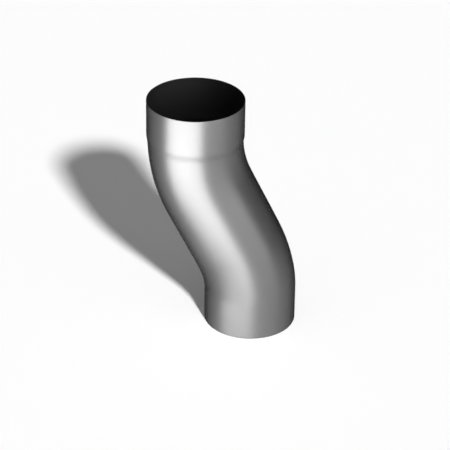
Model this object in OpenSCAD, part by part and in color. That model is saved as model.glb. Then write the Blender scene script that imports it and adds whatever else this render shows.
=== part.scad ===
// Downpipe offset bend: one sheet-metal tube that carries a round downpipe past a ledge.
// It stands on its lower end. The pipe above drops into the socket at the top, and
// the spigot at the bottom drops into the pipe below.
// Millimetres, +Z up. The origin is the centre of the spigot's lower edge, and the
// socket's axis lies towards -X of the spigot's axis by the offset.

/* [Pipe] */
// Outside diameter of the downpipe that the bend joins
pipe_d = 100; // [80:1:125]
// Thickness of the sheet
wall = 0.7; // [0.5:0.05:1.2]

/* [Socket] */
// Depth of the straight socket above the step
socket_depth = 38; // [20:1:80]
// Gap all round between the socket and the pipe that it takes
socket_gap = 0.5; // [0.3:0.05:1]
// Height of the rounded step where the tube widens into the socket
step_h = 5; // [3:0.5:12]

/* [Bend] */
// Sideways distance between the axes of the socket and the spigot
offset_x = 60; // [50:1:150]
// Lean of the slanted length from the vertical, in degrees
bend_angle = 26.5; // [18:0.5:32]
// Radius of both bends, measured at the axis of the tube
bend_r = 145; // [100:1:170]
// Angle that the tighter foot of the lower bend turns through, in degrees
foot_angle = 9; // [5:0.5:12]
// Radius on the hollow side of that foot, measured at the wall
foot_hollow_r = 11; // [8:0.5:40]

/* [Spigot] */
// Length of the straight spigot, which the pipe below takes
spigot_l = 39.5; // [25:0.5:90]
// Gap all round between the spigot and the bore of the pipe below
spigot_gap = 0.4; // [0.2:0.05:1]

/* [Hidden] */
$fn = 128;

// The tube narrows downwards. Each length is wider than the one below it by a hair,
// and laps over its end, so that their walls are one piece.
hair = 0.05;
lap = 0.5;

// Outside radii of the tube from the spigot up to the socket
spigot_r = pipe_d / 2 - wall - spigot_gap;
foot_r = spigot_r + hair;
lower_r = foot_r + hair;
tube_r = pipe_d / 2;
upper_r = tube_r - hair;
socket_r = pipe_d / 2 + socket_gap + wall;

// Radius of the lower bend's foot at the axis of the tube
foot_bend_r = foot_r + foot_hollow_r;

// Stretches that make up the rounded step
step_parts = 8;

// Length of the slanted part: it covers what the bends leave of the offset
foot_shift = foot_bend_r * (1 - cos(foot_angle));
lower_shift = bend_r * (cos(foot_angle) - cos(bend_angle));
upper_shift = bend_r * (1 - cos(bend_angle));
slant_l = (offset_x - foot_shift - lower_shift - upper_shift) / sin(bend_angle);

// Direction of the axis where it leans by an angle towards -X, and the direction across it
function along(angle) = [-sin(angle), 0, cos(angle)];
function across(angle) = [cos(angle), 0, sin(angle)];

// Angle that a lap takes up on a bend of a given radius
function lap_angle(turn_r) = lap / turn_r * 180 / PI;

// Points on the axis from the bottom up, and the centres that the bends turn about
foot_from = [0, 0, spigot_l];
foot_centre = foot_from - foot_bend_r * across(0);
lower_from = foot_centre + foot_bend_r * across(foot_angle);
lower_centre = lower_from - bend_r * across(foot_angle);
slant_from = lower_centre + bend_r * across(bend_angle);
slant_to = slant_from + slant_l * along(bend_angle);
upper_centre = slant_to + bend_r * across(bend_angle);
socket_from = upper_centre - bend_r * across(0);

// Outside radius on the rounded step, with t running from 0 at its foot to 1 at its top
function step_r(t) = tube_r + (socket_r - tube_r) * t * t * (3 - 2 * t);

// Straight tube from the origin up, with one radius at its foot and one at its top
module straight_tube(foot_r, top_r, length) {
    beyond = 1;
    spread = (top_r - foot_r) * beyond / length;
    difference() {
        cylinder(h = length, r1 = foot_r, r2 = top_r);
        translate([0, 0, -beyond])
            cylinder(
                h = length + 2 * beyond,
                r1 = foot_r - wall - spread,
                r2 = top_r - wall + spread
            );
    }
}

// Stretch of a bend in the XZ plane, between two angles about its centre
module bent_tube(centre, turn_r, from_angle, to_angle, radius) {
    translate(centre)
        rotate([90, 0, 0])
            rotate_extrude(angle = to_angle - from_angle, start = from_angle)
                translate([turn_r, 0])
                    difference() {
                        circle(r = radius);
                        circle(r = radius - wall);
                    }
}

// Straight lower end, which runs on into the foot of the lower bend by a lap
module spigot() {
    straight_tube(spigot_r, spigot_r, spigot_l + lap);
}

// Foot of the lower bend, which turns tighter than the rest of it
module foot_bend() {
    bent_tube(foot_centre, foot_bend_r, 0, foot_angle + lap_angle(foot_bend_r), foot_r);
}

// Lower bend, from its foot to the slant
module lower_bend() {
    bent_tube(lower_centre, bend_r, foot_angle, bend_angle + lap_angle(bend_r), lower_r);
}

// Slanted length, which takes up the difference between the two bends
module slant() {
    translate(slant_from)
        rotate([0, -bend_angle, 0])
            straight_tube(lower_r + hair, upper_r - hair, slant_l);
}

// Upper bend, from the slant back to the vertical
module upper_bend() {
    over = lap_angle(bend_r);
    bent_tube(upper_centre, bend_r, 180 - over, 180 + bend_angle + over, upper_r);
}

// Rounded step and straight socket, turned from one profile of even thickness
module socket() {
    rise = [for (i = [0 : step_parts]) [step_r(i / step_parts), step_h * i / step_parts]];
    outside = concat(rise, [[socket_r, step_h + socket_depth]]);
    inside = [for (i = [len(outside) - 1 : -1 : 0]) outside[i] - [wall, 0]];
    translate(socket_from)
        rotate_extrude()
            polygon(concat(outside, inside));
}

module offset_bend() {
    color([0.55, 0.57, 0.58]) {
        spigot();
        foot_bend();
        lower_bend();
        slant();
        upper_bend();
        socket();
    }
}

offset_bend();
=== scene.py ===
import math

import bpy
from mathutils import Matrix, Vector


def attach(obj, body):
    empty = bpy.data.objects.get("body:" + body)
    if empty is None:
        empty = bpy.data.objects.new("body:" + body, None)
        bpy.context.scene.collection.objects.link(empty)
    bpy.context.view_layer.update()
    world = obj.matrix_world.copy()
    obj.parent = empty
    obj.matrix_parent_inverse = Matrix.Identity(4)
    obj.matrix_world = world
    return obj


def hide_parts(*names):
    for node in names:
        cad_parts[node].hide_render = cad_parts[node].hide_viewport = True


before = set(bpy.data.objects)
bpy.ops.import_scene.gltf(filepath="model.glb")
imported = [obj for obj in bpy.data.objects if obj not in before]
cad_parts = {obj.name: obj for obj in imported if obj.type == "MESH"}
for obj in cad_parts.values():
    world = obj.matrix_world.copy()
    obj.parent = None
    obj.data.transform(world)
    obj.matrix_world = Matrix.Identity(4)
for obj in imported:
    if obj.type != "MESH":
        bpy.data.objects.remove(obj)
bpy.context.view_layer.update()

# Driving sizes of the bend, in metres and radians, as the solids have them
PIPE_R = 0.050
WALL = 0.0007
SOCKET_R = 0.0512
SOCKET_DEPTH = 0.038
STEP_H = 0.005
OFFSET = 0.060
BEND_R = 0.145
LEAN = math.radians(26.5)
SPIGOT_R = 0.0489
SPIGOT_L = 0.0395
FOOT_BEND_R = 0.05995
FOOT_LEAN = math.radians(9)

# The rounded step sets in softly, a little below the socket's foot
STEP_FROM = -0.006

# Length on either side over which the axis eases from one stretch into the next, and its samples
EASE = 0.010
EASE_SAMPLES = 16

# Short steps in which the axis is followed up to the socket's foot, of which every tenth has a
# ring of points, and near the step every fifth
AXIS_STEPS = 1200
NEAR_STEP = 40

# Points in the mesh: round the tube, and the small chamfer on the sheet's cut edges
AROUND = 224
EDGE = 0.00012

# The sheet's two materials, as material slots of the mesh: the outside, and the inside whose dark colour
# is painted shade
OUTER, INNER = 0, 1

# Outer edge of the foot, which is slightly turned in: heights and how far in
FOOT_EDGE = (
    (0.00004, 0.00042),
    (0.00012, 0.00028),
    (0.00026, 0.00015),
    (0.00045, 0.00006),
    (0.0007, 0.0),
)

# Where the rings of the straight socket lie, as shares of its depth
SOCKET_RINGS = (0.03, 0.1, 0.25, 0.4, 0.55, 0.7, 0.85, 0.95, 0.985, 1.0)

# Slanted length: it covers what the bends leave of the offset
foot_shift = FOOT_BEND_R * (1 - math.cos(FOOT_LEAN))
lower_shift = BEND_R * (math.cos(FOOT_LEAN) - math.cos(LEAN))
upper_shift = BEND_R * (1 - math.cos(LEAN))
slant_l = (OFFSET - foot_shift - lower_shift - upper_shift) / math.sin(LEAN)

# Height of the socket's foot and of the rim
foot_rise = FOOT_BEND_R * math.sin(FOOT_LEAN)
lower_rise = BEND_R * (math.sin(LEAN) - math.sin(FOOT_LEAN))
step_z = SPIGOT_L + foot_rise + lower_rise + slant_l * math.cos(LEAN) + BEND_R * math.sin(LEAN)
top_z = step_z + STEP_H + SOCKET_DEPTH

# Stretches of the axis from the foot up: length, and the lean at the upper end
stretches = (
    (SPIGOT_L, 0.0),
    (FOOT_BEND_R * FOOT_LEAN, FOOT_LEAN),
    (BEND_R * (LEAN - FOOT_LEAN), LEAN),
    (slant_l, LEAN),
    (BEND_R * LEAN, 0.0),
)
bend_end = sum(length for length, lean in stretches)


def plain_lean(s):
    """Lean of the axis at a length from the foot, with every stretch of even curvature."""
    start, lean = 0.0, 0.0
    for length, upper in stretches:
        if s < start + length:
            return lean + (upper - lean) * max(0.0, s - start) / length
        start += length
        lean = upper
    return lean


def eased_lean(s):
    """The same lean with its turns eased, as sheet metal takes them. The socket's foot stays as it is."""
    if s > bend_end - EASE:
        return plain_lean(s)
    total, weights = 0.0, 0.0
    for i in range(1 - EASE_SAMPLES, EASE_SAMPLES):
        weight = EASE_SAMPLES - abs(i)
        total += weight * plain_lean(s + EASE * i / EASE_SAMPLES)
        weights += weight
    return total / weights


def step_out(h):
    """How far the wall stands out in the step and the socket, at a height over the socket's foot."""
    t = max(0.0, min(1.0, (h - STEP_FROM) / (STEP_H - STEP_FROM)))
    return (SOCKET_R - PIPE_R) * t * t * (3 - 2 * t)


def stations():
    """Places along the axis from the foot to the rim: x, z, lean, outside radius and length so far."""
    step = bend_end / AXIS_STEPS
    x, z = [0.0], [0.0]
    for i in range(AXIS_STEPS):
        lean = eased_lean((i + 0.5) * step)
        x.append(x[-1] - math.sin(lean) * step)
        z.append(z[-1] + math.cos(lean) * step)
    # what the easing loses of the offset and the height is given back along the way
    miss_x, miss_z = -OFFSET - x[-1], step_z - z[-1]
    out = []
    near = AXIS_STEPS - NEAR_STEP
    marks = list(range(10, near, 10)) + list(range(near, AXIS_STEPS, 5))
    for i in marks:
        # the tube narrows evenly from the socket's foot down to the spigot
        s = i * step
        share = max(0.0, (s - SPIGOT_L) / (bend_end - SPIGOT_L))
        radius = SPIGOT_R + (PIPE_R - SPIGOT_R) * share + step_out(s - bend_end)
        out.append([x[i] + miss_x * share, z[i] + miss_z * share, eased_lean(s), radius, s])
    heights = [STEP_H * i / 6 for i in range(7)]
    heights += [STEP_H + (SOCKET_DEPTH - EDGE) * share for share in SOCKET_RINGS]
    for h in heights:
        out.append([-OFFSET, step_z + h, 0.0, PIPE_R + step_out(h), bend_end + h])
    return out


def ring(place, radius):
    """Points round the tube at one place, square to its axis, counted from the back."""
    x, z, lean = place[:3]
    points = []
    for i in range(AROUND):
        a = 2 * math.pi * (i + 0.5) / AROUND + math.pi / 2
        out = radius * math.cos(a)
        points.append((x + out * math.cos(lean), radius * math.sin(a), z + out * math.sin(lean)))
    return points


def tube_mesh():
    """The whole sheet as one closed mesh: outside up, over the rim, inside down and under the foot."""
    line = stations()
    rim = [-OFFSET, top_z, 0.0]
    foot = [0.0, 0.0, 0.0]
    last = line[-1][4]
    # each row: its points, its length along the sheet for the grain, and its material slot
    rows = [(ring([0.0, z, 0.0], SPIGOT_R - inward), z, OUTER) for z, inward in FOOT_EDGE]
    rows += [(ring(place, place[3]), place[4], OUTER) for place in line]
    rows.append((ring(rim, SOCKET_R - EDGE), last + EDGE, OUTER))
    rows.append((ring(rim, SOCKET_R - WALL + EDGE), last + WALL, OUTER))
    rows += [(ring(place, place[3] - WALL), place[4], INNER) for place in reversed(line)]
    rows.append((ring([0.0, EDGE, 0.0], SPIGOT_R - WALL), EDGE, INNER))
    rows.append((ring(foot, SPIGOT_R - WALL + EDGE / 2), 0.0, INNER))
    rows.append((ring(foot, SPIGOT_R - FOOT_EDGE[0][1] - EDGE / 2), 0.0, OUTER))
    verts = [point for points, length, material_slot in rows for point in points]
    turn = 2 * math.pi * PIPE_R
    faces, mats, uvs = [], [], []
    count = len(rows)
    for j in range(count):
        k = (j + 1) % count
        s0, s1 = rows[j][1], rows[k][1]
        # the rim and the foot's cut edge take the outside's material, not the inside's painted shade
        material_slot = INNER if rows[j][2] == rows[k][2] == INNER else OUTER
        for i in range(AROUND):
            n = (i + 1) % AROUND
            faces.append((j * AROUND + i, j * AROUND + n, k * AROUND + n, k * AROUND + i))
            mats.append(material_slot)
            v0, v1 = i / AROUND, (i + 1) / AROUND
            uvs += [(s0, v0 * turn), (s0, v1 * turn), (s1, v1 * turn), (s1, v0 * turn)]
    mesh = bpy.data.meshes.new("offset_bend_sheet")
    mesh.from_pydata(verts, [], faces)
    layer = mesh.uv_layers.new(name="grain")
    for i, uv in enumerate(uvs):
        layer.data[i].uv = uv
    mesh.polygons.foreach_set("material_index", mats)
    mesh.polygons.foreach_set("use_smooth", [True] * len(faces))
    mesh.validate()
    mesh.update()
    return mesh


def node(tree, kind, **values):
    """A new node with some of its settings."""
    made = tree.nodes.new(kind)
    for name, value in values.items():
        setattr(made, name, value)
    return made


def noise(tree, vector, scale, detail, rough):
    """Soft random pattern between 0 and 1."""
    made = node(tree, "ShaderNodeTexNoise")
    made.inputs["Scale"].default_value = scale
    made.inputs["Detail"].default_value = detail
    made.inputs["Roughness"].default_value = rough
    tree.links.new(vector, made.inputs["Vector"])
    return made.outputs["Fac"]


def spread(tree, value, low, high, to_low, to_high):
    """A value carried over from one range to another."""
    made = node(tree, "ShaderNodeMapRange")
    for name, number in (("From Min", low), ("From Max", high), ("To Min", to_low), ("To Max", to_high)):
        made.inputs[name].default_value = number
    tree.links.new(value, made.inputs["Value"])
    return made.outputs["Result"]


def stretched(tree, source, scale):
    """Coordinates scaled along each direction."""
    made = node(tree, "ShaderNodeMapping")
    made.inputs["Scale"].default_value = scale
    tree.links.new(source, made.inputs["Vector"])
    return made.outputs["Vector"]


def math_node(tree, operation, first, second):
    """Two values, each a number or another node's output, put together."""
    made = node(tree, "ShaderNodeMath", operation=operation)
    for i, item in enumerate((first, second)):
        if isinstance(item, (int, float)):
            made.inputs[i].default_value = item
        else:
            tree.links.new(item, made.inputs[i])
    return made.outputs["Value"]


def ramp(tree, value, stops):
    """Colours along a value, from stops of place and colour."""
    made = node(tree, "ShaderNodeValToRGB")
    points = made.color_ramp.elements
    while len(points) < len(stops):
        points.new(0.5)
    for point, (at, colour) in zip(points, stops):
        point.position = at
        point.color = (*colour, 1)
    tree.links.new(value, made.inputs["Fac"])
    return made.outputs["Color"]


def zinc_outside():
    """Bright-rolled zinc sheet: satin, with a fine grain round the tube."""
    mat = bpy.data.materials.new("zinc_outside")
    mat.use_nodes = True
    tree = mat.node_tree
    shader = tree.nodes["Principled BSDF"]
    shader.distribution = "GGX"
    place = node(tree, "ShaderNodeTexCoord").outputs["Object"]
    uv = node(tree, "ShaderNodeUVMap", uv_map="grain").outputs["UV"]
    grain = noise(tree, stretched(tree, uv, (5200.0, 60.0, 1.0)), 1.0, 3.0, 0.55)
    broad = noise(tree, place, 14.0, 4.0, 0.5)
    fine = noise(tree, place, 420.0, 2.0, 0.5)
    clouds = spread(tree, broad, 0.3, 0.7, -0.03, 0.03)
    lines = spread(tree, grain, 0.3, 0.7, -0.02, 0.02)
    tone = math_node(tree, "ADD", math_node(tree, "ADD", clouds, lines), 0.5)
    colour = ramp(tree, tone, ((0.44, (0.195, 0.195, 0.195)), (0.56, (0.23, 0.23, 0.23))))
    tree.links.new(colour, shader.inputs["Base Color"])
    dull = spread(tree, broad, 0.3, 0.7, 0.45, 0.48)
    rough = math_node(tree, "ADD", dull, spread(tree, fine, 0.3, 0.7, -0.01, 0.01))
    tree.links.new(rough, shader.inputs["Roughness"])
    bump = node(tree, "ShaderNodeBump")
    bump.inputs["Strength"].default_value = 0.08
    bump.inputs["Distance"].default_value = 0.00004
    tree.links.new(grain, bump.inputs["Height"])
    tree.links.new(bump.outputs["Normal"], shader.inputs["Normal"])
    tangent = node(tree, "ShaderNodeTangent", direction_type="UV_MAP", uv_map="grain")
    tree.links.new(tangent.outputs["Tangent"], shader.inputs["Tangent"])
    shader.inputs["Metallic"].default_value = 1.0
    shader.inputs["Anisotropic"].default_value = 0.69
    shader.inputs["Specular Tint"].default_value = (0.0, 0.0, 0.0, 1)
    return mat


def zinc_inside_painted_shade():
    """The same sheet's inner side, dull, with its colour set far darker than the outside's as painted
    shade for the shade inside the bore.
    """
    mat = bpy.data.materials.new("zinc_inside_painted_shade")
    mat.use_nodes = True
    tree = mat.node_tree
    shader = tree.nodes["Principled BSDF"]
    place = node(tree, "ShaderNodeTexCoord").outputs["Object"]
    broad = noise(tree, place, 25.0, 4.0, 0.5)
    # painted shade: this near-black colour stands for the shade in the bore, and the noise varies it a
    # little at random
    colour = ramp(tree, broad, ((0.35, (0.050, 0.050, 0.050)), (0.65, (0.064, 0.064, 0.064))))
    tree.links.new(colour, shader.inputs["Base Color"])
    tree.links.new(spread(tree, broad, 0.3, 0.7, 0.78, 0.86), shader.inputs["Roughness"])
    shader.inputs["Metallic"].default_value = 1.0
    return mat


tube = bpy.data.objects.new("zinc_offset_bend", tube_mesh())
bpy.context.scene.collection.objects.link(tube)
tube.data.materials.append(zinc_outside())
tube.data.materials.append(zinc_inside_painted_shade())
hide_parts("offset_bend")
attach(tube, "root")


def white_floor():
    """The studio's floor: plain and white, wide enough for every view."""
    mesh = bpy.data.meshes.new("studio_floor")
    half = 30.0
    # a hair below the foot, so that the two don't share a plane
    z = -0.0001
    corners = [(-half, -half, z), (half, -half, z), (half, half, z), (-half, half, z)]
    mesh.from_pydata(corners, [], [(0, 1, 2, 3)])
    floor = bpy.data.objects.new("studio_floor", mesh)
    bpy.context.scene.collection.objects.link(floor)
    mat = bpy.data.materials.new("floor_white")
    mat.use_nodes = True
    shader = mat.node_tree.nodes["Principled BSDF"]
    shader.inputs["Base Color"].default_value = (0.98, 0.98, 0.98, 1)
    shader.inputs["Roughness"].default_value = 1.0
    shader.inputs["Specular IOR Level"].default_value = 0.0
    floor.data.materials.append(mat)


white_floor()


def aim(obj, at, towards):
    """Place a light and turn it to a point."""
    obj.location = at
    obj.rotation_euler = (Vector(towards) - Vector(at)).to_track_quat("-Z", "Y").to_euler()


def lamp(name, kind, energy, at, towards):
    """A light that stands at one point and shines to another."""
    light = bpy.data.lights.new(name, kind)
    light.energy = energy
    obj = bpy.data.objects.new(name, light)
    bpy.context.scene.collection.objects.link(obj)
    aim(obj, at, towards)
    return obj


def softbox(name, radiance, azimuth, distance, width, height, middle):
    """An upright soft light that shows only as a sheen on the metal, turned to the object's middle.

    Azimuth 0 is the camera's side, and positive is to its right.
    """
    a = math.radians(azimuth)
    centre = -OFFSET / 2
    at = (centre + distance * math.sin(a), -distance * math.cos(a), middle)
    obj = lamp(name, "AREA", radiance * math.pi * width * height, at, (centre, 0, middle))
    obj.data.shape = "RECTANGLE"
    obj.data.size = width
    obj.data.size_y = height
    obj.visible_camera = False
    obj.visible_diffuse = False
    return obj


# Key light: it throws the shadow back and to the left
KEY_TO = Vector((0.1215, -0.339, 0.260)).normalized()
key = lamp("key", "SUN", 4.21, KEY_TO * 3, (0, 0, 0))
key.data.angle = math.radians(4.5)
key.visible_glossy = False

# A near, low softbox makes the long highlight, and a broad one lights the right half
softbox("left_softbox", 11.3, -27, 0.37, 0.56, 0.2, 0.1)
softbox("right_softbox", 3.7, 35, 1.2, 1.5, 0.8, 0.75)

# Ceiling: a broad, even light that fills the shadow
CEILING = 6
ceiling = lamp("ceiling", "AREA", 0.317 * math.pi * CEILING * CEILING, (0, 0, 3), (0, 0, 0))
ceiling.data.size = CEILING
ceiling.visible_camera = False

# Surroundings: grey up to the horizon, and nearly black above it, as a dark studio's walls
LOW_GREY = (0.2, 0.2, 0.2)
HIGH_GREY = (0.04, 0.04, 0.04)
world = bpy.data.worlds.new("studio")
bpy.context.scene.world = world
world.use_nodes = True
tree = world.node_tree
back = tree.nodes["Background"]
direction = node(tree, "ShaderNodeTexCoord").outputs["Generated"]
split = node(tree, "ShaderNodeSeparateXYZ")
tree.links.new(direction, split.inputs["Vector"])
height = spread(tree, split.outputs["Z"], -1, 1, 0, 1)
sky = ramp(tree, height, ((0.0, LOW_GREY), (0.5, LOW_GREY), (0.52, HIGH_GREY), (1.0, HIGH_GREY)))
tree.links.new(sky, back.inputs["Color"])
back.inputs["Strength"].default_value = 1.0

# Camera: the photograph's viewing angle, from above the front
cam = bpy.data.cameras.new("camera")
cam.sensor_width = 36
cam.lens = 179.45
cam.clip_start = 0.05
cam.clip_end = 100
camera = bpy.data.objects.new("camera", cam)
bpy.context.scene.collection.objects.link(camera)
tilt, roll = math.radians(29.847), math.radians(0.911)
forward = Vector((0, math.cos(tilt), -math.sin(tilt)))
side = Vector((1, 0, 0))
upward = side.cross(forward)
right = side * math.cos(roll) + upward * math.sin(roll)
above = upward * math.cos(roll) - side * math.sin(roll)
turned = Matrix((right, above, -forward)).transposed().to_4x4()
camera.matrix_world = Matrix.Translation((-0.027914, -2.064368, 1.296080)) @ turned
bpy.context.scene.camera = camera

bpy.context.scene.view_settings.view_transform = "Standard"
